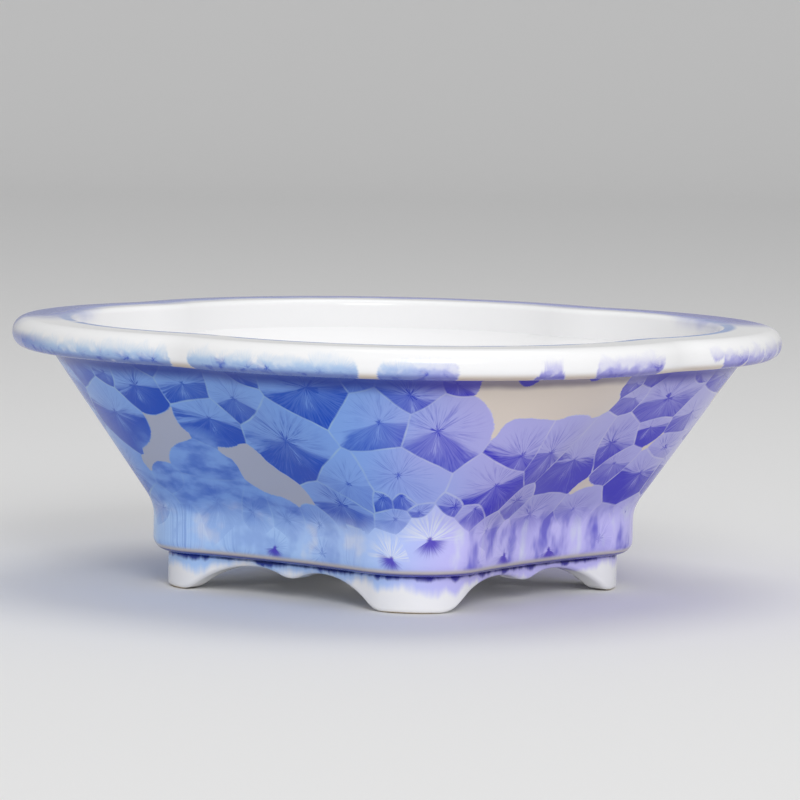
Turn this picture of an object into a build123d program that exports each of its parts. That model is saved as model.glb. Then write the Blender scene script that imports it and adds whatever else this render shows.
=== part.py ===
from build123d import *
from math import atan2, cos, degrees, radians, sin, sqrt
import os

# A low porcelain bonsai pot with a four-lobed plan, built up from the clay parts that are luted
# together before firing. The lobes point along X and Y, with the front towards -Y. The origin is
# at the middle of the base, on the surface that the feet stand on.

# Driving dimensions, mm. A reach is measured from the middle out to the tip of a lobe, and a side
# reach out to the middle of a drawn-in side.
rim_reach = 150.0
rim_side_reach = 137.7
belly_reach = 94.2
belly_side_reach = 71.4
lobe_half_turn = 54.0

pot_height = 104.0
lip_thickness = 11.6
lip_width = 24.0
lip_overhang = 14.4
lip_edge_round = 5.6
lip_underside_bevel = 4.2
lip_inner_bevel = 2.0

belly_height = 13.5
belly_thickness = 9.0
belly_bottom_bevel = 5.0
belly_corner_bevel = 1.8
cove_height = 9.0

foot_height = 14.0
foot_set_in = 6.0
foot_sole_thickness = 10.0
foot_root_thickness = 14.0
foot_top_bevel = 1.0
sole_depth = 14.6
arch_height = 11.2
arch_crown_offset = 16.6
arch_nib_height = 8.1

floor_thickness = 9.0
drain_hole_radius = 13.0
wire_hole_radius = 3.0
wire_hole_reach = 48.0
hole_edge_bevel = 1.2

# The ruled rings that make up the cove and the flare of the wall
cove_rings = 4
flare_rings = 6

# Joints between the clay parts, from the ground up
belly_bottom = foot_height
wall_bottom = belly_bottom + belly_height
wall_top = pot_height - lip_thickness
wall_height = wall_top - wall_bottom

corner_turns = {"right": 0, "back": 90, "left": 180, "front": 270}


def set_in(outline, inset):
    """The outline that lies a given distance inside another one, all the way round."""
    reach, side_reach = outline
    return reach - inset, side_reach - inset


def between(lower, upper, share):
    """The outline that lies a given share of the way from one outline to another."""
    return tuple(low + share * (high - low) for low, high in zip(lower, upper))


def lobed_face(outline, mode=Mode.ADD):
    """Four convex lobe arcs joined by four hollow arcs that are tangent to them."""
    reach, side_reach = outline
    opening = radians(lobe_half_turn)
    # A lobe's radius and a hollow's radius together, which is how far apart their centres lie
    radii = (reach - side_reach) / (1 - cos(opening) - (sqrt(2) - 1) * sin(opening))
    lobe_centre = radii * (sin(opening) - cos(opening))
    lobe_radius = reach - lobe_centre
    hollow_centre = radii * sin(opening)
    hollow_half_turn = lobe_half_turn - 45
    with BuildLine() as loop:
        for turn in corner_turns.values():
            lobe_middle = Vector(lobe_centre, 0).rotate(Axis.Z, turn)
            CenterArc(lobe_middle, lobe_radius, turn - lobe_half_turn, 2 * lobe_half_turn)
            hollow_middle = Vector(hollow_centre, hollow_centre).rotate(Axis.Z, turn)
            hollow_start = turn + 225 + hollow_half_turn
            CenterArc(hollow_middle, radii - lobe_radius, hollow_start, -2 * hollow_half_turn)
    make_face(loop.edges(), mode=mode)


def outer_edges(face):
    return face.outer_wire().edges()


def inner_edges(face):
    return face.inner_wires()[0].edges()


def flat_faces(part):
    """The level faces of a part, from the lowest to the highest."""
    return part.faces().filter_by(Plane.XY).sort_by(Axis.Z)


rim_outline = (rim_reach, rim_side_reach)
rim_inner_outline = set_in(rim_outline, lip_width)
wall_top_outline = set_in(rim_outline, lip_overhang)
belly_outline = (belly_reach, belly_side_reach)
belly_inner_outline = set_in(belly_outline, belly_thickness)
foot_outline = set_in(belly_outline, foot_set_in)


# Rim lip: a broad, thick ring that overhangs the wall, with a rounded outer edge
with BuildPart() as rim_lip:
    with BuildSketch(Plane.XY.offset(wall_top)):
        lobed_face(rim_outline)
        lobed_face(rim_inner_outline, mode=Mode.SUBTRACT)
    extrude(amount=lip_thickness)
    chamfer(outer_edges(flat_faces(rim_lip)[0]), lip_underside_bevel)
    chamfer(inner_edges(flat_faces(rim_lip)[-1]), lip_inner_bevel)
    fillet(outer_edges(flat_faces(rim_lip)[-1]), lip_edge_round)
rim_lip.part.label = "rim_lip"


# Wall: it leaves the belly upright, sweeps out through a cove, then flares straight to the lip
def flare_share(rise):
    """How far the wall has opened from the belly outline to the lip, at a rise above the belly."""
    if rise < cove_height:
        opened = rise**2 / (2 * cove_height)
    else:
        opened = rise - cove_height / 2
    return opened / (wall_height - cove_height / 2)


cove_rises = [cove_height * ring / cove_rings for ring in range(cove_rings)]
flare_step = (wall_height - cove_height) / flare_rings
flare_rises = [cove_height + flare_step * ring for ring in range(flare_rings + 1)]

with BuildPart() as wall:
    for rise in cove_rises + flare_rises:
        with BuildSketch(Plane.XY.offset(wall_bottom + rise)):
            lobed_face(between(belly_outline, wall_top_outline, flare_share(rise)))
    loft(ruled=True)
    # The inside stays upright to the middle of the cove, so the wall keeps its thickness
    with BuildSketch(Plane.XY.offset(wall_bottom)):
        lobed_face(belly_inner_outline)
    extrude(amount=cove_height / 2, mode=Mode.SUBTRACT)
    inside_height = wall_height - cove_height / 2
    for ring in range(flare_rings + 1):
        share = ring / flare_rings
        with BuildSketch(Plane.XY.offset(wall_top - inside_height * (1 - share))):
            lobed_face(between(belly_inner_outline, rim_inner_outline, share))
    loft(ruled=True, mode=Mode.SUBTRACT)
wall.part.label = "wall"


# Belly band: the short upright ring under the wall, rounded in to the groove above the feet
with BuildPart() as belly_band:
    with BuildSketch(Plane.XY.offset(belly_bottom)):
        lobed_face(belly_outline)
        lobed_face(belly_inner_outline, mode=Mode.SUBTRACT)
    extrude(amount=belly_height)
    chamfer(outer_edges(flat_faces(belly_band)[0]), belly_bottom_bevel)
    bevel_top = belly_bottom + belly_bottom_bevel
    upper_corner = belly_band.edges().filter_by_position(Axis.Z, bevel_top, bevel_top)
    chamfer(upper_corner, belly_corner_bevel)
belly_band.part.label = "belly_band"


# Floor slab: it fills the belly band, with a drain hole and a wire hole behind each foot
with BuildPart() as floor_slab:
    with BuildSketch(Plane.XY.offset(belly_bottom)):
        lobed_face(belly_inner_outline)
        Circle(drain_hole_radius, mode=Mode.SUBTRACT)
        with PolarLocations(wire_hole_reach, len(corner_turns)):
            Circle(wire_hole_radius, mode=Mode.SUBTRACT)
    extrude(amount=floor_thickness)
    for hole in flat_faces(floor_slab)[-1].inner_wires():
        chamfer(hole.edges(), hole_edge_bevel)
floor_slab.part.label = "floor_slab"


def ogee(start, end, first_share):
    """Two tangent arcs that leave one point level and reach the next one level. The first arc
    takes a given share of the run."""
    run = end[0] - start[0]
    turn = 2 * atan2(end[1] - start[1], run)
    radii = run / abs(sin(turn))
    first = JernArc(start, (1, 0), first_share * radii, degrees(turn))
    JernArc(first @ 1, first % 1, (1 - first_share) * radii, -degrees(turn))


def arch_opening():
    """The opening under one side of the skirt: an arch on either hand of a small nib."""
    nib = (0, arch_nib_height)
    crown = (arch_crown_offset, arch_height)
    # The openings of two sides meet at a sole's depth behind the tip of the lobe between them
    sole_end = ((foot_outline[0] - sole_depth) / sqrt(2), 0)
    with BuildLine() as half:
        ogee(nib, crown, 0.28)
        ogee(crown, sole_end, 0.78)
        Polyline(sole_end, (0, 0))
        mirror(about=Plane.YZ)
    make_face(half.edges())


# Bracket feet: each is a corner of the skirt, up to the middle of the side on either hand. The
# openings are cut square to the sides, and the back of a foot slopes in towards the floor.
back_slope = degrees(atan2(foot_root_thickness - foot_sole_thickness, foot_height))
bracket_feet = {}
for corner, turn in corner_turns.items():
    ground = Plane.XY.rotated((0, 0, turn))
    with BuildPart() as foot:
        with BuildSketch(ground):
            lobed_face(foot_outline)
        extrude(amount=foot_height)
        chamfer(outer_edges(flat_faces(foot)[-1]), foot_top_bevel)
        with BuildSketch(ground.offset(foot_height)):
            lobed_face(set_in(foot_outline, foot_root_thickness))
        extrude(amount=-foot_height, taper=-back_slope, mode=Mode.SUBTRACT)
        for side_turn in (turn - 45, turn + 45):
            square_out = Vector(1, 0).rotate(Axis.Z, side_turn)
            side = Plane((0, 0, 0), x_dir=square_out.rotate(Axis.Z, 90), z_dir=square_out)
            with BuildSketch(side):
                arch_opening()
            extrude(amount=foot_outline[0], mode=Mode.SUBTRACT)
        with BuildSketch(ground):
            corner_reach = foot_outline[0]
            Polygon(
                (0, 0), (corner_reach, -corner_reach), (corner_reach, corner_reach), align=None
            )
        extrude(amount=foot_height, mode=Mode.INTERSECT)
    foot.part.label = "foot_" + corner
    bracket_feet[foot.part.label] = foot.part


os.makedirs("parts", exist_ok=True)
export_step(rim_lip.part, "parts/rim_lip.step")
export_step(wall.part, "parts/wall.step")
export_step(belly_band.part, "parts/belly_band.step")
export_step(floor_slab.part, "parts/floor_slab.step")
for name, foot_part in bracket_feet.items():
    export_step(foot_part, f"parts/{name}.step")
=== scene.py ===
import math

import bpy
import numpy as np
from mathutils import Matrix, Vector


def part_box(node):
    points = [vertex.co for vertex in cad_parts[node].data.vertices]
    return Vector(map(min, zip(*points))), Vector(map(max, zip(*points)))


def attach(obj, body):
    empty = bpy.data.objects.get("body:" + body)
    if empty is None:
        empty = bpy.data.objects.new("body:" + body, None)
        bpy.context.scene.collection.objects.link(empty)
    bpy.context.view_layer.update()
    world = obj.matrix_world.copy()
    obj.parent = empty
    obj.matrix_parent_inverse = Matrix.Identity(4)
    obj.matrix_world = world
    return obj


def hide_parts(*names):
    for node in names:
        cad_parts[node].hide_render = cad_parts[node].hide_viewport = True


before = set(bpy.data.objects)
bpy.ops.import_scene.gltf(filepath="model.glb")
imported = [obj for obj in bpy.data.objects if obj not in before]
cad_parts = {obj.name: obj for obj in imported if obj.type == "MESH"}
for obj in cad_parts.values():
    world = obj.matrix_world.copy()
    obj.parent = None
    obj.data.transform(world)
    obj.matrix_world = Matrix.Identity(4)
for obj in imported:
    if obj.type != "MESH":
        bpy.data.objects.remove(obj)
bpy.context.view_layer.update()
print("frame loaded")

# The four-lobed plan that every ring of the pot follows
planShape = {
    "lobeHalfTurn": 54.0,  # degrees that a lobe turns to either side of its tip
    "rimSideReach": 0.1377,  # from the middle out to a drawn-in side of the lip
    "bellySideReach": 0.0714,  # the same at the belly
    "lobeStations": 104,  # points round one lobe
    "sideStations": 56,  # points along one drawn-in side
}

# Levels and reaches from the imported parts; a reach runs from the middle out to a lobe's tip
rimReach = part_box("rim_lip")[1].x
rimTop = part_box("rim_lip")[1].z
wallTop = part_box("wall")[1].z
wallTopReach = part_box("wall")[1].x
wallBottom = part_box("wall")[0].z
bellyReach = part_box("belly_band")[1].x
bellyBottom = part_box("belly_band")[0].z
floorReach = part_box("floor_slab")[1].x
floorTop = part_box("floor_slab")[1].z
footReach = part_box("foot_right")[1].x
rimDraw = rimReach - planShape["rimSideReach"]
bellyDraw = bellyReach - planShape["bellySideReach"]


# Stations round the pot: over a lobe the normal turns from minus to plus the half turn, and
# along a side it turns back, to where the next lobe starts
def makeStations():
    half = math.radians(planShape["lobeHalfTurn"])
    lobe = np.linspace(-half, half, planShape["lobeStations"], endpoint=False)
    side = np.linspace(half, math.pi / 2 - half, planShape["sideStations"], endpoint=False)
    turns = np.repeat(np.arange(4) * math.pi / 2, len(lobe) + len(side))
    normals = np.tile(np.concatenate([lobe, side]), 4) + turns
    onLobe = np.tile(np.arange(len(lobe) + len(side)) < len(lobe), 4)
    return turns, normals, onLobe


# Points of the plan at the stations, with a row for each reach: on a lobe its centre plus its
# radius along the normal, and on a side the hollow's centre less its radius along the normal.
# The draw is how much less far a side's middle lies than a lobe's tip.
def planPoints(reach, draw, stations):
    turns, normals, onLobe = stations
    half = math.radians(planShape["lobeHalfTurn"])
    reach, draw = np.broadcast_arrays(np.atleast_1d(reach), np.atleast_1d(draw))
    radii = (draw / (1 - math.cos(half) - (math.sqrt(2) - 1) * math.sin(half)))[:, None]
    lobeCentre = radii * (math.sin(half) - math.cos(half))
    lobeRadius = reach[:, None] - lobeCentre
    centreReach = np.where(onLobe, lobeCentre, radii * math.sin(half) * math.sqrt(2))
    centreTurn = np.where(onLobe, turns, turns + math.pi / 4)
    radius = np.where(onLobe, lobeRadius, lobeRadius - radii)
    x = centreReach * np.cos(centreTurn) + radius * np.cos(normals)
    y = centreReach * np.sin(centreTurn) + radius * np.sin(normals)
    return x, y


# A profile of (reach, draw, height) carried round the plan: one row of points for each of its
# points
def carryRound(profile, stations):
    reach, draw, height = np.asarray(profile).T
    x, y = planPoints(reach, draw, stations)
    return np.stack([x, y, np.broadcast_to(height[:, None], x.shape)], axis=2)


# Quads between the neighbouring rows and columns of a grid, which may close on itself either way
def gridQuads(rows, columns, closeRows, closeColumns):
    i = np.arange(rows if closeRows else rows - 1)[:, None]
    j = np.arange(columns if closeColumns else columns - 1)[None, :]
    nextI, nextJ = (i + 1) % rows, (j + 1) % columns
    corners = [i * columns + j, i * columns + nextJ, nextI * columns + nextJ, nextI * columns + j]
    return np.stack(corners, axis=2).reshape(-1, 4)


# A smooth mesh object from a grid of points, its quads and any caps of more corners, with
# creases kept sharp where its faces meet at more than the given angle
def meshPiece(name, points, quads, caps=(), creaseAngle=50):
    mesh = bpy.data.meshes.new(name)
    loops = np.concatenate([quads.ravel()] + [np.asarray(cap) for cap in caps])
    sizes = np.concatenate([np.full(len(quads), 4), [len(cap) for cap in caps]]).astype(np.int32)
    starts = np.cumsum(sizes) - sizes
    mesh.vertices.add(len(points))
    mesh.vertices.foreach_set("co", points.astype(np.float32).ravel())
    mesh.loops.add(len(loops))
    mesh.loops.foreach_set("vertex_index", loops.astype(np.int32))
    mesh.polygons.add(len(sizes))
    mesh.polygons.foreach_set("loop_start", starts.astype(np.int32))
    mesh.polygons.foreach_set("use_smooth", np.ones(len(sizes), dtype=bool))
    mesh.update(calc_edges=True)
    mesh.validate()
    mesh.set_sharp_from_angle(angle=math.radians(creaseAngle))
    piece = bpy.data.objects.new(name, mesh)
    bpy.context.scene.collection.objects.link(piece)
    return piece


# One number for each vertex, kept on the mesh for its glaze
def keepOnPoints(piece, name, values):
    layer = piece.data.attributes.new(name, "FLOAT", "POINT")
    layer.data.foreach_set("value", np.asarray(values, dtype=np.float32).ravel())


# An arc of a profile: its centre plus the radius turned between two angles in degrees
def arcProfile(centreReach, centreHeight, radius, fromTurn, toTurn, count):
    turn = np.radians(np.linspace(fromTurn, toTurn, count))
    return np.stack([centreReach + radius * np.cos(turn), centreHeight + radius * np.sin(turn)], 1)


# The same profile with points added between its own, so that no step is over the given length
def fillSteps(profile, longest):
    profile = np.asarray(profile, dtype=float)
    lengths = np.hypot(np.diff(profile[:, 0]), np.diff(profile[:, -1]))
    counts = np.maximum(1, np.ceil(lengths / longest).astype(int))
    firsts = np.repeat(np.cumsum(counts) - counts, counts)
    shares = (np.arange(counts.sum()) - firsts) / np.repeat(counts, counts)
    starts = np.repeat(profile[:-1], counts, axis=0)
    spans = np.repeat(np.diff(profile, axis=0), counts, axis=0)
    return np.vstack([starts + spans * shares[:, None], profile[-1:]])


# A profile of (reach, height) that gets the same draw all the way
def withDraw(profile, draw):
    return np.insert(np.asarray(profile, dtype=float), 1, draw, axis=1)


stations = makeStations()


# A closed profile carried all the way round: the piece, and the grid of its points
def makeRing(name, profile):
    points = carryRound(profile, stations)
    quads = gridQuads(*points.shape[:2], True, True)
    return meshPiece(name, points.reshape(-1, 3), quads), points


# The same from an outside and an inside, with the outside marked: the piece and the outside's
# points
def makeWalledRing(name, outside, inside):
    profile = np.vstack([outside, inside])
    piece, points = makeRing(name, profile)
    isOutside = np.arange(len(profile)) < len(outside)
    keepOnPoints(piece, "outside", np.repeat(isOutside, points.shape[1]))
    return piece, points[: len(outside)]


rimLipShape = {
    "width": 0.024,  # m, from its outer edge in to the soil space
    "topRound": 0.0058,
    "underRound": 0.0052,
    "innerRound": 0.0024,
    "crown": 0.0002,  # how much lower its inner edge is than the top of its outer round
    "step": 0.0011,  # longest step between two points of the profile
}


# The lip: out along the underside from the soil space, round the outer edge, in over a top that
# falls with the square of the way in, and down a small inner round
def makeRimLip():
    shape = rimLipShape
    innerReach = rimReach - shape["width"]
    innerTop = rimTop - shape["crown"]
    radius = shape["underRound"]
    under = arcProfile(rimReach - radius, wallTop + radius, radius, -90, 0, 12)
    radius = shape["topRound"]
    top = arcProfile(rimReach - radius, rimTop - radius, radius, 0, 90, 14)
    radius = shape["innerRound"]
    inner = arcProfile(innerReach + radius, innerTop - radius, radius, 90, 180, 8)
    wayIn = np.linspace(0, 1, 8)[1:-1]
    crownReach = top[-1, 0] + (inner[0, 0] - top[-1, 0]) * wayIn
    crown = np.stack([crownReach, rimTop - shape["crown"] * wayIn**2], axis=1)
    corner = [[innerReach, wallTop]]
    profile = np.vstack([corner, under, top, crown, inner, corner])
    profile = fillSteps(withDraw(profile, rimDraw), shape["step"])[:-1]
    piece, points = makeRing("rimLip", profile)
    acrossLip = (profile[:, 0] - innerReach) / shape["width"]
    keepOnPoints(piece, "acrossLip", np.repeat(acrossLip, points.shape[1]))
    return piece, points[profile[:, 0] > wallTopReach]


rimLip, lipOutside = makeRimLip()
print("rim lip made")

wallShape = {
    "coveHeight": 0.009,  # the sweep between the belly and the straight flare
    "neckRound": 0.0018,  # glaze that fills the corner under the lip
    "rings": 60,
    "innerRings": 24,
    "step": 0.0014,
}


# How far the wall has opened from the belly to the lip at a rise: the square of the rise over the
# cove, then straight
def openedShare(rise):
    cove = wallShape["coveHeight"]
    opened = np.where(rise < cove, rise**2 / (2 * cove), rise - cove / 2)
    return opened / (wallTop - wallBottom - cove / 2)


# The wall: up its flaring outside, with a small round under the lip that falls with the square
# of the way down, then down its inside
def makeWall():
    shape = wallShape
    rise = np.linspace(0, wallTop - wallBottom, shape["rings"])
    opened = openedShare(rise)
    neck = shape["neckRound"] * np.clip(1 - (rise[-1] - rise) / shape["neckRound"], 0, 1) ** 2
    outside = np.stack(
        [
            bellyReach + (wallTopReach - bellyReach) * opened + neck,
            bellyDraw + (rimDraw - bellyDraw) * opened,
            wallBottom + rise,
        ],
        axis=1,
    )
    down = np.linspace(1, 0, shape["innerRings"])
    upright = wallBottom + shape["coveHeight"] / 2
    inside = np.stack(
        [
            floorReach + (rimReach - rimLipShape["width"] - floorReach) * down,
            bellyDraw + (rimDraw - bellyDraw) * down,
            upright + (wallTop - upright) * down,
        ],
        axis=1,
    )
    inside = np.vstack([inside, [[floorReach, bellyDraw, wallBottom]]])
    return makeWalledRing("flaringWall", fillSteps(outside, shape["step"]), inside)


wall, wallOutside = makeWall()
print("wall made")

bellyShape = {
    "bottomRound": 0.0052,
    "floorRound": 0.0040,  # where the inside meets the floor
    "filletSink": 0.0010,  # how far its hidden underside lies below the floor's top
    "step": 0.0011,
}


# The belly: out from the floor's edge along the groove, round the bottom and up to the wall, then
# down the inside and over a fillet on to the floor
def makeBellyBand():
    shape = bellyShape
    radius = shape["bottomRound"]
    bottom = arcProfile(bellyReach - radius, bellyBottom + radius, radius, -90, 0, 14)
    radius = shape["floorRound"]
    fillet = arcProfile(floorReach - radius, floorTop + radius, radius, 0, -90, 8)
    outside = np.vstack([bottom, [[bellyReach, wallBottom]]])
    outside = fillSteps(withDraw(outside, bellyDraw), shape["step"])
    filletEnd = [floorReach, floorTop - shape["filletSink"]]
    inside = np.vstack([[[floorReach, wallBottom]], fillet, [filletEnd, [floorReach, bellyBottom]]])
    return makeWalledRing("bellyBand", outside, withDraw(inside, bellyDraw))


bellyBand, bellyOutside = makeBellyBand()
print("belly band made")

footShape = {
    "topRound": 0.0010,
    "edgeRound": 0.0019,  # along the cut edge of the arches
    "soleThickness": 0.0100,
    "rootThickness": 0.0140,
    "soleDepth": 0.0146,  # how far behind the tip of the lobe the two openings meet
    "archHeight": 0.0112,
    "crownOffset": 0.0166,
    "nibHeight": 0.0081,
    "nibShare": 0.28,  # how much of a curve's run its first arc takes
    "archShare": 0.78,
    "frontLean": 0.0055,  # how far to the left the front foot's sole is cut
    "leanStart": 0.040,  # the lean grows from the middle of a side over this distance
    "lobeStations": 110,
    "sideStations": 60,
}


# Height along two tangent arcs that leave level and arrive level: the first one as high as its
# circle, then the second from the far end
def arcPairHeight(along, run, rise, firstShare):
    turn = 2 * math.atan2(abs(rise), run)
    radii = run / math.sin(turn)
    first, second = firstShare * radii, (1 - firstShare) * radii
    along = np.clip(along, 0, run)
    near = first - np.sqrt(np.maximum(first**2 - along**2, 0))
    far = abs(rise) - second + np.sqrt(np.maximum(second**2 - (run - along) ** 2, 0))
    return math.copysign(1, rise) * np.where(along < first * math.sin(turn), near, far)


# Height of the cut edge at a distance from the middle of a side: up from the nib to the crown of
# the arch, then down to the sole
def cutHeight(fromMiddle):
    shape = footShape
    soleEnd = (footReach - shape["soleDepth"]) / math.sqrt(2)
    crown, nib = shape["archHeight"], shape["nibHeight"]
    offset = shape["crownOffset"]
    toCrown = nib + arcPairHeight(fromMiddle, offset, crown - nib, shape["nibShare"])
    run = soleEnd - offset
    toSole = crown + arcPairHeight(fromMiddle - offset, run, -crown, shape["archShare"])
    return np.where(fromMiddle < offset, toCrown, toSole)


# A foot, made pointing along X: stations from the middle of one side round the lobe to the middle
# of the next, and at each one a loop down the front of the skirt, under its cut edge and up its
# sloping back. The height of the cut edge goes by the point's own distance from the middle of the
# side, and the rounds lift it by the gap between a circle and its tangent. The finished points are
# turned about Z.
def makeFoot(name, turn, lean):
    shape = footShape
    half = math.radians(planShape["lobeHalfTurn"])
    side = np.linspace(math.pi / 4, half, shape["sideStations"], endpoint=False)
    lobe = np.linspace(half, -half, shape["lobeStations"])
    normals = np.concatenate([side, lobe, -side[::-1]])[::-1]
    onLobe = np.repeat([False, True, False], [len(side), len(lobe), len(side)])
    turns = np.where(normals < 0, -math.pi / 2, 0.0) * ~onLobe
    footStations = (turns, normals, onLobe)

    # Each row of the loop: how far in it lies, its share of the way down to the cut edge, and its
    # lift above that
    edge, top = shape["edgeRound"], shape["topRound"]
    root, sole = shape["rootThickness"], shape["soleThickness"]
    arc = [(1 - math.sin(bend), 1 - math.cos(bend)) for bend in np.radians(range(0, 91, 15))]
    down = np.linspace(0, 1, 9)[1:]
    under = np.linspace(0, 1, 6)[1:-1]
    up = np.linspace(0, 1, 7)[1:]
    rows = [(top * away, 0.0, -top * drop) for away, drop in arc]
    rows += [(0.0, share, edge * share) for share in down]
    rows += [(edge * drop, 1.0, edge * away) for away, drop in arc[1:]]
    rows += [(edge + (sole - 2 * edge) * share, 1.0, 0.0) for share in under]
    rows += [(sole - edge * away, 1.0, edge * drop) for away, drop in arc]
    rows += [(root * share + sole * (1 - share), 1 - share, edge * (1 - share)) for share in up]
    inset, share, lift = np.array(rows).T
    x, y = planPoints(footReach - inset, bellyDraw, footStations)
    fromMiddle = (x - np.abs(y)) / math.sqrt(2)
    leaning = lean * np.clip(fromMiddle / shape["leanStart"], 0, 1)
    fromMiddle = (x - np.abs(y + leaning)) / math.sqrt(2)
    cut = cutHeight(np.maximum(fromMiddle, 0))
    z = bellyBottom + (cut - bellyBottom) * share[:, None] + lift[:, None]
    cosine, sine = math.cos(math.radians(turn)), math.sin(math.radians(turn))
    points = np.stack([x * cosine - y * sine, x * sine + y * cosine, z], axis=2)
    rowCount, columns = points.shape[:2]
    first = np.arange(rowCount) * columns
    caps = (first[::-1], first + columns - 1)
    quads = gridQuads(rowCount, columns, True, False)[:, ::-1]
    return meshPiece(name, points.reshape(-1, 3), quads, caps)


feet = {
    "foot_right": makeFoot("footRight", 0, 0.0),
    "foot_back": makeFoot("footBack", 90, 0.0),
    "foot_left": makeFoot("footLeft", 180, 0.0),
    "foot_front": makeFoot("footFront", 270, footShape["frontLean"]),
}
print("bracket feet made")

for piece in [rimLip, wall, bellyBand, *feet.values()]:
    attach(piece, "root")
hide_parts("rim_lip")
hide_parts("wall")
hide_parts("belly_band")
for node, piece in feet.items():
    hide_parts(node)


# A shader node's output, which can be added, multiplied and so on with others or with numbers
class Flow:
    def __init__(self, bench, socket):
        self.bench = bench
        self.socket = socket

    def __add__(self, other):
        return self.bench.maths("ADD", self, other)

    def __sub__(self, other):
        return self.bench.maths("SUBTRACT", self, other)

    def __rsub__(self, other):
        return self.bench.maths("SUBTRACT", other, self)

    def __mul__(self, other):
        return self.bench.maths("MULTIPLY", self, other)

    def __truediv__(self, other):
        return self.bench.maths("DIVIDE", self, other)


# Adds nodes to a tree, and gives back what comes out of them
class Bench:
    def __init__(self, tree):
        self.tree = tree

    def add(self, kind, feeds=(), output=0, **settings):
        node = self.tree.nodes.new(kind)
        for name, value in settings.items():
            setattr(node, name, value)
        for name, value in dict(feeds).items():
            self.feed(node.inputs[name], value)
        return Flow(self, node.outputs[output])

    def feed(self, slot, value):
        if isinstance(value, Flow):
            self.tree.links.new(value.socket, slot)
        else:
            slot.default_value = value

    def maths(self, operation, *values):
        return self.add("ShaderNodeMath", enumerate(values), operation=operation)

    def lower(self, a, b):
        return self.maths("MINIMUM", a, b)

    def higher(self, a, b):
        return self.maths("MAXIMUM", a, b)

    # 0 up to the first value, then smoothly to 1 at the second one, which may be the smaller
    def rise(self, value, start, end):
        feeds = {"Value": value, "From Min": start, "From Max": end}
        return self.add("ShaderNodeMapRange", feeds, interpolation_type="SMOOTHSTEP")

    # The first colour where the share is 0, the second where it is 1
    def mix(self, share, first, second):
        feeds = {0: share, 6: first, 7: second}
        return self.add("ShaderNodeMix", feeds, 2, data_type="RGBA")

    # The same for numbers
    def pick(self, share, first, second):
        return first + (second - first) * share

    def vector(self, x, y, z):
        return self.add("ShaderNodeCombineXYZ", {0: x, 1: y, 2: z})

    def split(self, flow):
        node = self.tree.nodes.new("ShaderNodeSeparateXYZ")
        self.feed(node.inputs[0], flow)
        return [Flow(self, output) for output in node.outputs]

    def noise(self, vector, scale, detail, roughness=0.5, output=0):
        feeds = {"Vector": vector, "Scale": scale, "Detail": detail, "Roughness": roughness}
        return self.add("ShaderNodeTexNoise", feeds, output)

    def attribute(self, name, output="Fac"):
        return self.add("ShaderNodeAttribute", (), output, attribute_name=name)

    def place(self):
        return self.add("ShaderNodeTexCoord", (), "Object")

    def stretch(self, vector, x, y, z):
        feeds = {0: vector, 1: (x, y, z)}
        return self.add("ShaderNodeVectorMath", feeds, operation="MULTIPLY")


# A colour as it shows on a screen, 0 to 255, in the linear values that shaders take
def shown(red, green, blue):
    share = np.array([red, green, blue]) / 255
    linear = np.where(share < 0.04045, share / 12.92, ((share + 0.055) / 1.055) ** 2.4)
    return (*linear.tolist(), 1.0)


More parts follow.
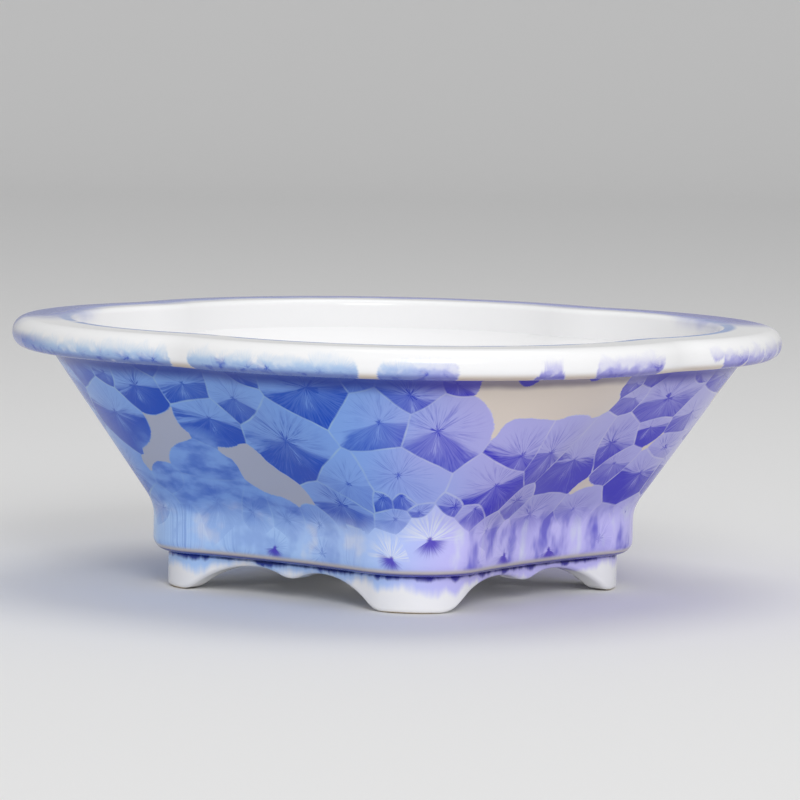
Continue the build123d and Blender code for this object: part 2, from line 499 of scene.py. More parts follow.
# Crystals given one by one where the pot is seen most: how far round the pot in degrees, their
# height and their reach, both in millimetres, and how dark their fan is. A spot has the brightness
# of its rays in place of that.
handCrystals = {
    "body": [
        (-139, 72, 16, 0.9), (-129, 80, 16, 0.8), (-140, 85, 15, 0.8), (-131, 85, 9, 0.6),
        (-120, 65, 22, 0.9), (-112, 87, 19, 0.8), (-125, 90, 8, 0.9), (-100, 75, 20, 0.6),
        (-95, 86, 16, 0.7), (-90, 71, 21, 0.6), (-88, 90, 9, 0.8), (-107, 50, 17, 0.2),
        (-110, 41, 15, 0.7), (-97, 54, 20, 0.1), (-96, 46, 12, 0.8), (-100, 45, 11, 0.8),
        (-92, 40, 8, 0.9), (-97, 36, 10, 0.5), (-84, 42, 9, 0.7), (-76, 49, 20, 0.9),
        (-79, 41, 12, 0.8), (-73, 31, 12, 0.6), (-72, 62, 18, 0.8), (-64, 62, 20, 0.8),
        (-51, 57, 22, 1.0), (-41, 63, 17, 0.9), (-32, 68, 12, 1.0), (-35, 81, 18, 0.7),
        (-49, 88, 8, 0.9), (-31, 89, 9, 0.9), (-33, 54, 12, 0.6), (-21, 48, 16, 1.0),
        (-54, 35, 15, 0.6), (-33, 35, 12, 0.2), (-150, 50, 14, 0.5), (-161, 44, 10, 0.7),
        (-154, 36, 20, 0.5), (-144, 33, 14, 0.5), (-131, 32, 11, 0.4), (-119, 31, 10, 0.2),
        (-151, 82, 15, 1.0), (-158, 87, 9, 0.8), (-163, 70, 18, 1.0), (-76, 93, 5, 0.9),
        (-63, 93, 4, 0.9), (-22, 73, 14, 0.8), (-20, 88, 12, 0.8), (-20, 58, 13, 0.2),
        (-76, 19, 11, 0.4), (-118, 20, 12, 0.1), (-20, 22, 12, 0.3),
    ],
    "bodySpots": [
        (-136, 20, 12, 0.0), (-98, 21, 13, 0.9), (-89, 29, 16, 0.9), (-64, 20, 14, 0.1),
        (-42, 20, 15, 0.0), (40, 22, 11, 0.6), (75, 20, 12, 0.1), (108, 24, 12, 0.9),
        (150, 20, 13, 0.0),
    ],
    "lip": [
        (-168, 97, 9, 0.8), (-163, 96, 9, 0.6), (-158, 96, 9, 0.9), (-153, 95, 9, 0.4),
        (-148, 95, 8, 0.8), (-143, 95, 9, 0.4), (-138, 95, 8, 0.3), (-128, 95, 8, 0.7),
        (-124, 96, 9, 0.9), (-120, 95, 9, 0.8), (-116, 95, 9, 0.3), (-112, 95, 9, 0.5),
        (-108, 95, 9, 0.3), (-105, 95, 7, 0.3), (-97, 94, 8, 0.6), (-93, 95, 9, 0.6),
        (-91, 95, 6, 0.3), (-75, 95, 4, 0.6), (-64, 96, 7, 0.4), (-60, 97, 9, 0.8),
        (-56, 98, 10, 1.0), (-38, 93, 6, 0.8), (-26, 95, 8, 0.4), (-20, 97, 9, 0.6),
        (-12, 98, 8, 0.9),
    ],
    "lipSpots": [],
}

# Spots that the crystals leave bare: degrees round, height and reach
bareSpots = {
    "body": [
        (-81, 76, 4), (-81, 71, 3), (-83, 87, 4), (-79, 83, 6), (-77, 88, 5), (-73, 86, 7),
        (-69, 85, 8), (-64, 84, 8), (-59, 83, 8), (-56, 87, 5), (-54, 82, 4), (-158, 57, 6),
        (-155, 62, 7), (-151, 67, 7), (-148, 72, 4), (-164, 50, 3), (-139, 59, 3), (-134, 56, 5),
        (-132, 50, 6), (-128, 45, 6), (-124, 41, 5), (-27, 70, 3), (-25, 65, 4), (-26, 60, 4),
        (-37, 44, 4), (20, 72, 10), (66, 84, 9), (72, 80, 8), (100, 60, 7), (131, 48, 6),
        (-6, 80, 7), (158, 78, 9), (166, 72, 7), (40, 50, 5),
    ],
    "lip": [
        (-133, 96, 5), (-101, 96, 5), (-83, 96, 12), (-70, 96, 5), (-46, 97, 14), (-178, 97, 9),
    ],
}

# Where the glaze stayed soft, so the crystals hardly show: degrees round, height and reach
softSpots = [
    (-152, 48, 20), (-138, 38, 15), (-160, 40, 16), (60, 40, 20), (118, 45, 16), (10, 35, 14),
]

# How far out from a spot's middle it is full, and where it ends, in its reaches
spotFades = {"bare": (1.5, 2.5), "soft": (1.0, 1.5)}

crystalFill = {
    "seed": 11,
    "kindSeed": 21342,  # for how high and how tilted each crystal's fan is
    "body": (6.0, 18.0),  # shortest and longest reach of the crystals that fill in, mm
    "lip": (5.0, 10.0),
    "bodyTries": 3000,
    "lipTries": 160,
    "apart": 0.66,  # how near two crystals may start, as a share of their reaches together
    "jitter": 0.2,  # mm that a chosen reach may be off
    "palestFan": 0.4,
}


# Crystals on a grid of surface points, mm, of the body or the lip: where each one starts, which
# way right and up lie on the surface there, its reach, and its kind: a random number, how dark its
# fan is and whether it's a spot. The chosen ones start at the point that is nearest to their turn
# and height, and then others fill the room between them.
def growCrystals(surface, part):
    plain = handCrystals[part]
    chosen = plain + handCrystals[part + "Spots"]
    tries, jitter = crystalFill[part + "Tries"], crystalFill["jitter"]
    random = np.random.default_rng(crystalFill["seed"])
    points = surface * 1000
    right = np.roll(points, -1, axis=1) - np.roll(points, 1, axis=1)
    up = np.gradient(points, axis=0)
    right /= np.linalg.norm(right, axis=2, keepdims=True)
    up -= right * (up * right).sum(axis=2, keepdims=True)
    up /= np.linalg.norm(up, axis=2, keepdims=True)
    points, right, up = (grid.reshape(-1, 3) for grid in (points, right, up))
    turn = np.degrees(np.arctan2(points[:, 1], points[:, 0]))
    radius = np.hypot(points[:, 0], points[:, 1])

    def nearestPoint(spot):
        away = np.radians((turn - spot[0] + 180) % 360 - 180) * radius
        return int(np.argmin(away**2 + (points[:, 2] - spot[1]) ** 2))

    fades = {}
    for name, spots in (("bare", bareSpots[part]), ("soft", softSpots)):
        middles = points[[nearestPoint(spot) for spot in spots]]
        fades[name] = (middles, np.array([spot[2] for spot in spots]))
    bareMiddles, bareReaches = fades["bare"]
    starts = [nearestPoint(spot) for spot in chosen]
    spans = [spot[2] + random.uniform(-jitter, jitter) for spot in chosen]
    candidates = random.integers(0, len(points), tries)
    candidateSpans = np.sort(random.uniform(*crystalFill[part], tries))[::-1]
    for start, span in zip(candidates, candidateSpans):
        gaps = np.linalg.norm(points[starts] - points[start], axis=1)
        bareGaps = np.linalg.norm(bareMiddles - points[start], axis=1)
        tooNear = np.maximum(crystalFill["apart"] * (np.array(spans) + span), spans)
        if (gaps < tooNear).any() or (bareGaps < bareReaches + span).any():
            continue
        starts.append(int(start))
        spans.append(span)
    kinds = np.random.default_rng(crystalFill["kindSeed"]).random((len(starts), 3))
    palest = crystalFill["palestFan"]
    kinds = kinds * (1.0, 1 - palest, 0.0) + (0.0, palest, 0.0)
    kinds[: len(chosen), 1] = [spot[3] for spot in chosen]
    kinds[len(plain) : len(chosen), 2] = 1
    return {
        "start": points[starts],
        "right": right[starts],
        "up": up[starts],
        "reach": np.array(spans),
        "kind": kinds,
        "fades": fades,
    }


# Plain numbers read from all of a mesh's vertices, faces or corners
def readNumbers(items, name, width, kind):
    numbers = np.empty(len(items) * width, dtype=kind)
    items.foreach_get(name, numbers)
    return numbers if width == 1 else numbers.reshape(-1, width)


# Gives each face the three crystals that can show on it, which are those with the least distance
# less reach. Each of its corners keeps its own distance right and up from each start, and the
# crystal's reach and kind. Each vertex keeps how near it is to a bare spot and to a soft one: 1
# where that is full, then down to 0 in proportion to the distance.
def markCrystals(piece, crystals):
    mesh = piece.data
    points = readNumbers(mesh.vertices, "co", 3, np.float32).astype(float) * 1000
    centres = readNumbers(mesh.polygons, "center", 3, np.float32).astype(float) * 1000
    corners = readNumbers(mesh.loops, "vertex_index", 1, np.int32)
    sizes = readNumbers(mesh.polygons, "loop_total", 1, np.int32)
    starts = crystals["start"]
    squares = (centres**2).sum(axis=1)[:, None] + (starts**2).sum(axis=1)[None, :]
    distances = np.sqrt(np.maximum(squares - 2 * centres @ starts.T, 0))
    nearest = np.argsort(distances - crystals["reach"][None, :], axis=1)[:, :3]
    for rank, letter in enumerate("ABC"):
        crystal = np.repeat(nearest[:, rank], sizes)
        away = points[corners] - starts[crystal]
        values = np.stack(
            [
                (away * crystals["right"][crystal]).sum(axis=1),
                (away * crystals["up"][crystal]).sum(axis=1),
                crystals["reach"][crystal],
            ],
            axis=1,
        )
        for name, vectors in (("crystal", values), ("crystalKind", crystals["kind"][crystal])):
            layer = mesh.attributes.new(name + letter, "FLOAT_VECTOR", "CORNER")
            layer.data.foreach_set("vector", vectors.astype(np.float32).ravel())
    for name, (middles, reaches) in crystals["fades"].items():
        full, end = spotFades[name]
        away = np.linalg.norm(points[:, None, :] - middles[None, :, :], axis=2)
        nearness = np.clip((end - away / reaches) / (end - full), 0, 1)
        keepOnPoints(piece, name, nearness.max(axis=1))


bodyOutside = np.concatenate([bellyOutside[:-1], wallOutside])
bodyCrystals = growCrystals(bodyOutside, "body")
markCrystals(wall, bodyCrystals)
markCrystals(bellyBand, bodyCrystals)
markCrystals(rimLip, growCrystals(lipOutside, "lip"))
print("crystals grown")

crystalLook = {
    "wobble": 1.0,  # mm that the crystals' borders wander
    "wobbleScale": 70.0,
    # Grains round a start: how fine across, how fine outwards, and their detail
    "broad": (1.5, 0.03, 1.0),
    "spikes": (4.0, 0.05, 2.0),
    "needles": (9.0, 0.09, 3.0),
    "fine": (24.0, 0.12, 2.0),
    "leastTurn": 0.3,  # least that the distance to an edge is divided by
    "edgeWidth": 0.34,  # mm of the pale line where crystals meet
    "overrun": 9.0,  # mm that they grow on past their reach where nothing is left bare
}


# What the crystals do at each point of a surface. Of the face's three, the one with the least
# distance less reach shows, as if all had grown at one speed and started at their own times. Its
# grains are noise that depends on the direction from its start. The distance to its edge is how
# much nearer it is than the next one, over how much their directions differ.
def crystalFlows(bench, place, overrun):
    look = crystalLook
    wander = bench.split(bench.noise(place, look["wobbleScale"], 1.0, output=1))
    shiftX, shiftY = ((flow - 0.5) * (2 * look["wobble"]) for flow in wander[:2])
    parts = []
    for letter in "ABC":
        right, up, reach = bench.split(bench.attribute("crystal" + letter, "Vector"))
        right, up = right + shiftX, up + shiftY
        distance = bench.maths("SQRT", bench.higher(right * right + up * up, 0.0001))
        kind = bench.split(bench.attribute("crystalKind" + letter, "Vector"))
        parts.append([right / distance, up / distance, distance, reach, distance - reach, *kind])
    best = parts[0]
    for part in parts[1:]:
        isNearer = bench.maths("LESS_THAN", part[4], best[4])
        best = [bench.pick(isNearer, old, new) for old, new in zip(best, part)]
    unitX, unitY, distance, reach, excess, random, tone, isSpot = best
    rim = (1 - bench.attribute("bare")) * overrun - excess
    edge = rim
    for part in parts:
        turnX, turnY = part[0] - unitX, part[1] - unitY
        turned = bench.maths("SQRT", turnX * turnX + turnY * turnY)
        isSelf = bench.maths("LESS_THAN", bench.maths("ABSOLUTE", part[5] - random), 0.0001)
        toNext = (part[4] - excess) / bench.higher(turned, look["leastTurn"])
        edge = bench.lower(edge, toNext + isSelf * 100)
    flows = {
        "unitX": unitX,
        "unitY": unitY,
        "share": distance / reach,
        "random": random,
        "tone": tone,
        "isSpot": isSpot,
        "rim": rim,
        "edge": edge,
    }
    # Times a crystal's random number, these give it a grain of its own
    offsets = [random * number for number in (31.0, 73.0, 17.0)]
    for name in ("broad", "spikes", "needles", "fine"):
        across, outwards, detail = look[name]
        spread = (unitX * across, unitY * across, distance * outwards)
        spread = bench.vector(*(flow + offset for flow, offset in zip(spread, offsets)))
        flows[name] = bench.noise(spread, 1.0, detail, 0.6)
    return flows


fanLook = {
    "tilt": 0.9,  # how much the fans differ in tilt
    "height": 0.7,  # and in height
    "border": (0.20, -0.26),  # where a fan begins and is full, as the direction turns down
    "borderGrain": {"needles": 0.8, "fine": 0.4, "broad": 1.7},
    "toneRange": (0.22, 0.80),  # a fan's least darkness, and what its own tone adds
    "toneGrain": {"fine": 0.8, "broad": 0.4},
    "streakWidth": (0.42, 0.10),  # bright needles run down the middle of a fan
    "streakLength": (0.72, 0.35),
    "streakBrightness": 0.8,
    "startSize": 0.015,  # of the dark start, as a share of the reach, before its spikes
}


# How dark a crystal is at each point, 0 to 1: its fan, which deepens outwards, the fine dark
# needles over its upper part that fade away from the start, and the spiky start itself, less the
# bright needles below and beside the start. Whole crystals differ in how high and how tilted the
# fan is.
def crystalDarkness(bench, flows):
    look = fanLook
    random, share, needles, fine = (flows[name] for name in ("random", "share", "needles", "fine"))

    def grain(strengths):
        total = 0.0
        for name, strength in strengths.items():
            total = (flows[name] - 0.5) * strength + total
        return total

    tilt, height, mood = (bench.maths("FRACT", random * factor) for factor in (7.31, 3.77, 5.19))
    lean = flows["unitY"] + flows["unitX"] * ((tilt - 0.5) * look["tilt"])
    lifted = lean + grain(look["borderGrain"]) - (height - 0.7) * look["height"]
    inFan = bench.rise(lifted, *look["border"]) * bench.rise(flows["tone"], 0.0, 0.3)
    least, added = look["toneRange"]
    fanTone = (flows["tone"] * added + least) * (bench.rise(share, 0.1, 0.9) * 0.20 + 0.88)
    fanTone = fanTone + grain(look["toneGrain"])
    upper = bench.rise(needles, 0.46, 0.66) * bench.rise(share, 1.0, 0.10) * (mood * 0.5 + 0.35)
    upper = upper + bench.rise(fine, 0.44, 0.72) * bench.rise(share, 1.2, 0.2) * 0.35
    dark = bench.pick(inFan, upper + (mood - 0.5) * 0.16, fanTone)
    aside = bench.maths("ABSOLUTE", flows["unitX"] - (tilt - 0.5) * 0.6)
    streaks = bench.rise(fine, 0.50, 0.60) * bench.rise(aside, *look["streakWidth"])
    streaks = streaks * bench.rise(share, *look["streakLength"]) * inFan
    beside = bench.rise(bench.maths("ABSOLUTE", lean), 0.30, 0.04) * bench.rise(needles, 0.44, 0.58)
    streaks = bench.higher(streaks, beside * bench.rise(share, 0.8, 0.15))
    dark = dark * (1 - streaks * look["streakBrightness"])
    spikes = bench.rise(flows["spikes"], 0.36, 0.68) * (mood * 0.20 + 0.08) + look["startSize"]
    start = bench.rise(share - spikes, 0.03, -0.05)
    return bench.higher(bench.higher(bench.lower(dark, 1.0), 0.0), start * 0.95)


# A new glaze or paper: a material whose principled shader takes the plain numbers on its own
# sockets
def newGlaze(name, numbers):
    material = bpy.data.materials.new(name)
    material.use_nodes = True
    bench = Bench(material.node_tree)
    shader = material.node_tree.nodes["Principled BSDF"]
    for slot, value in numbers.items():
        shader.inputs[slot].default_value = value
    return material, bench, shader


glazeNumbers = {
    "Roughness": 0.20,
    "IOR": 1.42,
}

# As they show on a screen, first on the blue left side, then on the violet right one
sidedColours = {
    "dark": ((2, 76, 196), (54, 44, 196)),
    "pale": ((130, 172, 240), (178, 176, 234)),
    "ground": ((176, 182, 202), (222, 210, 198)),
    "edge": ((154, 192, 232), (200, 198, 234)),
    "belly": ((176, 210, 255), (202, 196, 252)),
    # glaze pooled in the groove and at the top of the feet, also used as painted shade under the
    # lip and on the lip's underside
    "pooledAndShade": ((36, 62, 158), (62, 52, 162)),
    "lip": ((176, 206, 238), (188, 186, 236)),
    "top": ((92, 116, 206), (92, 108, 208)),
}

glazeColours = {
    "brightRays": shown(226, 232, 246),
    "darkStart": shown(60, 28, 184),
    "thinGlaze": shown(206, 198, 194),
    # painted shade, on the bare ground under the lip
    "shade": shown(132, 122, 134),
    "white": shown(246, 246, 247),
    "cream": shown(206, 190, 172),
    "clay": shown(196, 172, 132),
    "innerEdge": shown(92, 138, 214),
}

violetShape = {
    "border": (-0.050, 0.030),  # from where on it turns violet, and where it's full, along X
    "noiseScale": 18.0,
    "wander": 0.07,  # m that the border wanders
}


# How far a point is over to the violet side: smoothly from left to right, with a broad noise
def violetShare(bench, place):
    shape = violetShape
    x, _, _ = bench.split(place)
    wander = (bench.noise(place, shape["noiseScale"], 1.0) - 0.5) * shape["wander"]
    return bench.rise(x + wander, *shape["border"])


# One of the glaze's sided colours, at that share of violet
def glazeColour(bench, violet, name):
    return bench.mix(violet, *(shown(*colour) for colour in sidedColours[name]))


bodyGlazeShape = {
    # Heights between which a band comes in, m
    "soft": (0.040, 0.027),  # the crystals get paler and softer down towards the belly
    "thinBand": (0.0176, 0.0158),  # the thin glaze over the belly's lower edge
    "groove": (0.0160, 0.0148),
    "underLip": 0.0078,  # the band under the lip, painted shade and partly pooled glaze, thins out over this height
    # Noises, and how much one moves a band, m
    "blotchScale": 55.0,
    "softBlotch": 0.016,
    "underLipBlotch": 0.002,
    "hazeScale": 75.0,
    "mottleScale": 70.0,
    "runScale": 95.0,
    "finenessScale": 130.0,
    # Strengths
    "haze": 0.8,
    "brightRuns": 0.6,
    "darkStarts": 0.9,
    # how strong the band under the lip is: painted shade, partly pooled glaze
    "pooledAndShade": 0.92,
}


# The glaze outside, on the wall and the belly: crystals on a bare ground, paler and softer down
# towards the belly, with soft runs and small dark starts there, and thin over its lower edge. Under
# the lip it darkens in a band of painted shade, which over the crystals is partly pooled glaze. It
# pools in the groove. Inside the pot it is white.
def makeBodyGlaze():
    colours, shape = glazeColours, bodyGlazeShape
    material, bench, shader = newGlaze("crystalGlaze", glazeNumbers)
    place = bench.place()
    _, _, z = bench.split(place)
    flows = crystalFlows(bench, place, crystalLook["overrun"])
    violet = violetShare(bench, place)
    blotch = bench.noise(place, shape["blotchScale"], 2.0) - 0.5
    low = bench.rise(z + blotch * shape["softBlotch"], *shape["soft"])
    hazy = bench.attribute("soft") * (1 - low)
    isSpot, share, tone, needles = (flows[name] for name in ("isSpot", "share", "tone", "needles"))

    # The crystals, and where they are hazy level marks in their place
    dark = crystalDarkness(bench, flows)
    marks = bench.noise(bench.stretch(place, 1, 1, 2.2), shape["hazeScale"], 3.0)
    marks = bench.rise(marks, 0.38, 0.62) * 0.68 + 0.06
    dark = bench.pick(hazy * shape["haze"], dark, marks)
    pale, deep = (glazeColour(bench, violet, name) for name in ("pale", "dark"))
    crystal = bench.mix(dark, pale, deep)
    fineness = bench.rise(bench.noise(place, shape["finenessScale"], 1.0), 0.35, 0.65)
    width = crystalLook["edgeWidth"]
    onEdge = bench.rise(flows["edge"], width * 1.7, width * 0.4) * (fineness * 0.5 + 0.35)
    onEdge = onEdge * (1 - hazy * shape["haze"])
    crystal = bench.mix(onEdge, crystal, glazeColour(bench, violet, "edge"))

    # The belly: mottled on the blue side, in runs on the violet one
    belly = glazeColour(bench, violet, "belly")
    mottle = bench.noise(place, shape["mottleScale"], 3.0)
    drips = bench.noise(bench.stretch(place, 1, 1, 0.45), shape["runScale"], 3.0)
    runs = bench.pick(violet, mottle, drips)
    brightRuns = bench.rise(runs, 0.46, 0.30) * shape["brightRuns"]
    belly = bench.mix(brightRuns, belly, colours["brightRays"])
    soft = bench.rise(runs, 0.48 - violet * 0.03, 0.66) * (violet * 0.50 + 0.28)
    softDark = bench.higher(soft, dark * bench.rise(share, 1.1, 0.2) * 0.55)
    softCrystal = bench.mix(softDark, belly, deep)

    # The spots: bright rays over a small dark fan that points down
    turned, leaned = (bench.maths("FRACT", flows["random"] * factor) for factor in (7.3, 5.7))
    rays = bench.rise(needles, 0.38, 0.58) * bench.rise(share, 1.0, 0.2)
    rays = rays * bench.rise(flows["unitY"], -0.25, 0.15) * tone
    spot = bench.mix(rays, bench.mix(tone, softCrystal, belly), colours["brightRays"])
    lean = flows["unitY"] + flows["unitX"] * (leaned - 0.5) + (needles - 0.5) * 1.2
    fan = bench.rise(lean, 0.10 - turned * 0.3, -0.60)
    fan = fan * bench.rise(share + (flows["fine"] - 0.5) * 0.3, 0.50, 0.12)
    fan = bench.higher(fan, bench.rise(share + (needles - 0.5) * 0.2, 0.10, 0.02))
    spot = bench.mix(fan * shape["darkStarts"], spot, colours["darkStart"])
    softCrystal = bench.mix(isSpot, softCrystal, spot)
    crystal = bench.mix(bench.higher(low, isSpot), crystal, softCrystal)

    # The bare ground between them, the band under the lip, which is painted shade and partly pooled
    # glaze, and the bands over the belly's lower edge
    ground = bench.mix(low, glazeColour(bench, violet, "ground"), belly)
    covered = bench.rise(flows["rim"] + (flows["fine"] - 0.5) * 1.4, -0.15, 0.15)
    outside = bench.mix(covered, ground, crystal)
    pooledAndShade = glazeColour(bench, violet, "pooledAndShade")
    # Painted shade under the lip: the shade colour on the bare ground, and the pooled colour over
    # the crystals, where it is partly pooled glaze
    underLip = shape["underLip"]
    fromLip = wallTop - z + blotch * shape["underLipBlotch"]
    corner = bench.rise(fromLip, (covered * 0.30 + 0.70) * underLip, underLip * 0.30)
    shade = bench.mix(covered, colours["shade"], pooledAndShade)
    outside = bench.mix(corner * shape["pooledAndShade"], outside, shade)
    outside = bench.mix(bench.rise(z, *shape["thinBand"]), outside, colours["thinGlaze"])
    outside = bench.mix(bench.rise(z, *shape["groove"]), outside, pooledAndShade)
    colour = bench.mix(bench.attribute("outside"), colours["white"], outside)
    bench.feed(shader.inputs["Base Color"], colour)
    return material


lipGlazeShape = {
    # Heights between which a band comes in, m
    "patches": (0.1016, 0.0964),
    "patchDepth": (0.0990, 0.0930),  # they get darker downwards
    "warmEdge": (0.0956, 0.0928),
    "shadedUnderEdge": (0.0953, 0.0932),
    "top": (0.0975, 0.1025),
    "tipsLow": (0.1010, 0.0970),
    # The same across the lip, from 0 at its inner edge to 1 at its outer one
    "outerFace": (0.70, 0.80),
    "underFace": (0.60, 0.70),
    "backTop": (0.10, 0.52),
    "backEdge": (0.42, 0.85),
    "innerLineIn": (0.04, 0.08),
    "innerLineOut": (0.30, 0.18),
    # The same from the middle of the pot to the back or to either side, m
    "back": (-0.022, 0.016),
    "sides": (0.100, 0.130),
    "tips": (0.136, 0.1495),
    "lineFade": (0.05, -0.03),
    # Noises
    "mottleScale": 160.0,
    "raggedScale": 40.0,
    "breakScale": 60.0,
    # Strengths
    "patchCover": 0.95,
    "backTint": 0.85,
    "backEdgeTint": 0.60,
    "tipTint": 0.75,
    "innerLine": 0.90,
}


# The lip's glaze: white, with patches of soft crystals low on its outer face, thin and warm along
# its lower edge, where the cream is partly painted shade and the patches darken in painted shade,
# tinted over its top at the back and sides, and with a fine blue line where it breaks over the
# inner edge
def makeRimGlaze():
    colours, shape = glazeColours, lipGlazeShape
    material, bench, shader = newGlaze("rimGlaze", glazeNumbers)
    place = bench.place()
    x, y, z = bench.split(place)
    across = bench.attribute("acrossLip")
    aside = bench.maths("ABSOLUTE", x)
    flows = crystalFlows(bench, place, 0.0)
    violet = violetShare(bench, place)
    deep, pooledAndShade = (glazeColour(bench, violet, name) for name in ("dark", "pooledAndShade"))

    def band(value, name):
        return bench.rise(value, *shape[name])

    # The patches, with a warm edge in the gaps between them: thin glaze that shows the cream body,
    # made stronger as painted shade on the underside
    dark = crystalDarkness(bench, flows)
    mottle = bench.noise(place, shape["mottleScale"], 3.0)
    depth = band(z, "patchDepth") * 0.6
    marks = bench.rise(mottle, 0.50, 0.64) * 0.5
    tone = depth * (dark * 0.5 + 0.5) + marks * dark + marks * 0.15
    patch = bench.mix(tone, glazeColour(bench, violet, "lip"), deep)
    fringe = (flows["needles"] - 0.5) * 0.003 + (mottle - 0.5) * 0.010
    fade = band(z + fringe, "patches") * band(across, "outerFace")
    covered = bench.rise(flows["rim"] + (flows["needles"] - 0.5) * 2, -0.3, 0.9) * fade
    warm = band(z, "warmEdge") * band(across, "underFace") * (1 - covered)
    colour = bench.mix(warm, colours["white"], colours["cream"])
    # Painted shade: the patches darken to the pooled colour along the lip's underside
    edge = band(z, "shadedUnderEdge") * band(across, "underFace") * 0.6
    patch = bench.mix(edge, patch, pooledAndShade)
    covered = covered * (bench.rise(mottle + depth * 0.4, 0.36, 0.62) * 0.6 + 0.4)
    colour = bench.mix(covered * shape["patchCover"], colour, patch)

    # The tint over the back, and the lower corners of the side tips
    ragged = (bench.noise(place, shape["raggedScale"], 3.0) - 0.5) * 0.5
    onTop = band(z, "top")
    atBack = onTop * band(y + ragged * 0.07, "back")
    inward = across + ragged * 0.8 + band(aside, "sides") * 0.30
    backTop = band(inward, "backTop") * atBack * shape["backTint"]
    colour = bench.mix(backTop, colour, glazeColour(bench, violet, "top"))
    backEdge = band(inward, "backEdge") * atBack * shape["backEdgeTint"]
    colour = bench.mix(backEdge, colour, pooledAndShade)
    tips = band(aside, "tips") * band(z, "tipsLow")
    colour = bench.mix(tips * shape["tipTint"], colour, deep)

    # The line along the inner edge
    breaks = bench.rise(bench.noise(place, shape["breakScale"], 3.0), 0.30, 0.50)
    inner = band(across, "innerLineOut") * band(across, "innerLineIn") * onTop * breaks
    inner = inner * band(y + ragged * 0.05, "lineFade")
    colour = bench.mix(inner * shape["innerLine"], colour, colours["innerEdge"])
    bench.feed(shader.inputs["Base Color"], colour)
    return material


footGlazeShape = {
    "dripScale": 150.0,
    "washScale": 45.0,
    "dripRun": 0.010,  # m that the drips run down, and the wash
    "washRun": 0.012,
    # How far below the groove the pooled glaze thins out, and the thin one runs to white
    "thin": (0.0003, 0.0022),
    "white": (0.0022, 0.0066),
    "bareSole": (0.0006, 0.0001),  # heights between which the clay shows
}


# The feet's glaze: pooled and dark up in the groove, run down in drips to white, and bare clay on
# the sole
def makeFootGlaze():
    colours, shape = glazeColours, footGlazeShape
    material, bench, shader = newGlaze("footGlaze", glazeNumbers)
    place = bench.place()
    _, _, z = bench.split(place)
    violet = violetShare(bench, place)
    drips = bench.noise(bench.stretch(place, 1, 1, 0.2), shape["dripScale"], 3.0) - 0.5
    wash = bench.noise(place, shape["washScale"], 2.0) - 0.5
    down = bellyBottom - z
    toThin = bench.rise(down - drips * (0.8 * shape["dripRun"]), *shape["thin"])
    lowered = down - drips * shape["dripRun"] - wash * shape["washRun"]
    toWhite = bench.rise(lowered, *shape["white"])
    pooledAndShade, thin = (glazeColour(bench, violet, name) for name in ("pooledAndShade", "belly"))
    colour = bench.mix(toWhite, bench.mix(toThin, pooledAndShade, thin), colours["white"])
    sole = bench.rise(z + wash * 0.0012, *shape["bareSole"])
    colour = bench.mix(sole, colour, colours["clay"])
    bench.feed(shader.inputs["Base Color"], colour)
    return material


insideGlazeShape = {
    "patchScale": 40.0,
    "smoothest": 0.18,
    "roughestAdds": 0.1,
}


# The white glaze inside, on the floor of the pot, a little rougher in patches
def makeInsideGlaze():
    shape = insideGlazeShape
    material, bench, shader = newGlaze("insideGlaze", glazeNumbers)
    shader.inputs["Base Color"].default_value = glazeColours["white"]
    patches = bench.noise(bench.place(), shape["patchScale"], 2.0)
    roughness = patches * shape["roughestAdds"] + shape["smoothest"]
    bench.feed(shader.inputs["Roughness"], roughness)
    return material


bodyGlaze = makeBodyGlaze()
wall.data.materials.append(bodyGlaze)
bellyBand.data.materials.append(bodyGlaze)
rimLip.data.materials.append(makeRimGlaze())
footGlaze = makeFootGlaze()
for piece in feet.values():
    piece.data.materials.append(footGlaze)
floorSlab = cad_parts["floor_slab"]
insideGlaze = makeInsideGlaze()
for materialSlot in floorSlab.material_slots:
    materialSlot.material = insideGlaze
print("glazes mixed")

studio = {
    "backdropColour": shown(236, 236, 236),
    "backdropDepth": 3.4,
    "backdropBend": 0.8,
    "backdropWidth": 12.0,
    "backdropHeight": 4.0,
    "floorFront": 5.0,  # how far the floor runs to the front
    "floorDrop": 0.0001,  # keeps the floor just clear of the soles
    "skyStrength": 0.50,
    "keySize": 1.4,
    "keyWatts": 55.0,
    "keyPlace": (0.2, -3.2, 1.6),
    "fillSize": 1.2,
    "fillWatts": 8.0,
    "fillPlace": (0.3, 0.2, 1.9),
    "lampAim": (0, 0, 0.06),
}


# The floor and the backdrop: one sheet, level under the pot, then up through a quarter bend
def makeBackdrop():
    bend = studio["backdropBend"]
    depth = studio["backdropDepth"]
    turn = np.linspace(0, math.pi / 2, 24)
    front, top = studio["floorFront"], studio["backdropHeight"]
    forward = np.concatenate([[-front], depth + bend * np.sin(turn), [depth + bend]])
    height = np.concatenate([[0.0], bend * (1 - np.cos(turn)), [top]]) - studio["floorDrop"]
    across = np.array([-0.5, 0.5]) * studio["backdropWidth"]
    points = np.stack(np.broadcast_arrays(across[None, :], forward[:, None], height[:, None]), 2)
    quads = gridQuads(len(forward), 2, False, False)
    sheet = meshPiece("studioFloor", points.reshape(-1, 3), quads)
    material, bench, shader = newGlaze("studioPaper", {"Roughness": 0.9})
    shader.inputs["Base Color"].default_value = studio["backdropColour"]
    sheet.data.materials.append(material)


# A soft square lamp that points at the pot
def makeLamp(name, place, size, watts):
    lamp = bpy.data.lights.new(name, "AREA")
    lamp.shape = "SQUARE"
    lamp.size = size
    lamp.energy = watts
    holder = bpy.data.objects.new(name, lamp)
    holder.location = place
    aim = Vector(studio["lampAim"]) - Vector(place)
    holder.rotation_euler = aim.to_track_quat("-Z", "Y").to_euler()
    bpy.context.scene.collection.objects.link(holder)


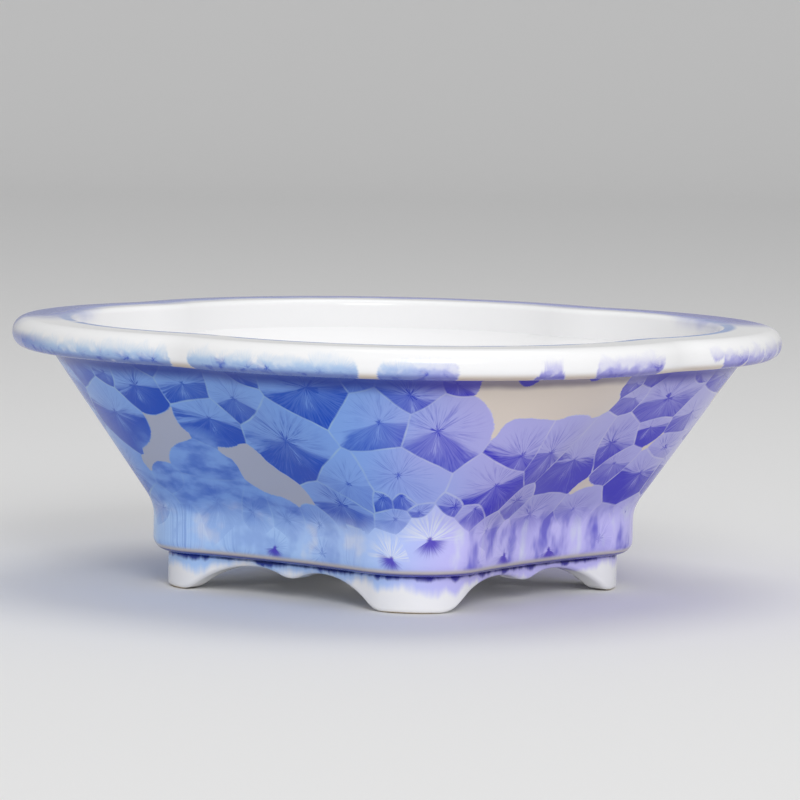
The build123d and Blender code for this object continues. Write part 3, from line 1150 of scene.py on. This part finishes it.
# The sky: plain white light from all round
def makeSky():
    world = bpy.data.worlds.new("studioSky")
    world.use_nodes = True
    background = world.node_tree.nodes["Background"]
    background.inputs["Color"].default_value = (1.0, 1.0, 1.0, 1.0)
    background.inputs["Strength"].default_value = studio["skyStrength"]
    bpy.context.scene.world = world


makeBackdrop()
makeLamp("keyLamp", studio["keyPlace"], studio["keySize"], studio["keyWatts"])
makeLamp("fillLamp", studio["fillPlace"], studio["fillSize"], studio["fillWatts"])
makeSky()
bpy.context.scene.view_settings.view_transform = "Standard"
print("studio lit")

cameraShape = {
    "turn": 7.22,  # degrees round to the right of the front
    "rise": 5.47,  # degrees above the level
    "distance": 2.0,
    "aimHeight": 0.050,
    "lens": 230.4,  # mm, on a sensor 36 mm wide
    "tiltUp": 0.655,  # degrees that it looks above its aim
    "turnAside": 0.048,  # degrees, to the right
    "roll": 1.123,
    "shiftX": -0.0012,
}


# Two directions at right angles, turned in their own plane by an angle, the first to the second
def swung(first, second, angle):
    cosine, sine = math.cos(angle), math.sin(angle)
    return first * cosine + second * sine, second * cosine - first * sine


# The camera: out at its turn and rise from the aim, then tilted, turned aside and rolled
def makeCamera():
    shape = cameraShape
    turn, rise, tilt, aside, roll = (
        math.radians(shape[name]) for name in ("turn", "rise", "tiltUp", "turnAside", "roll")
    )
    around = Matrix.Rotation(-turn, 3, "Z")
    forward = around @ Vector((0, math.cos(rise), -math.sin(rise)))
    up = around @ Vector((0, math.sin(rise), math.cos(rise)))
    right = around @ Vector((1, 0, 0))
    place = Vector((0, 0, shape["aimHeight"])) - shape["distance"] * forward
    forward, up = swung(forward, up, tilt)
    forward, right = swung(forward, right, aside)
    right, up = swung(right, up, roll)
    data = bpy.data.cameras.new("potCamera")
    data.sensor_width = 36.0
    data.lens = shape["lens"]
    data.shift_x = shape["shiftX"]
    data.clip_start = 0.05
    camera = bpy.data.objects.new("potCamera", data)
    camera.matrix_world = Matrix(
        [[right[i], up[i], -forward[i], place[i]] for i in range(3)] + [[0, 0, 0, 1]]
    )
    bpy.context.scene.collection.objects.link(camera)
    bpy.context.scene.camera = camera


makeCamera()
print("camera placed")
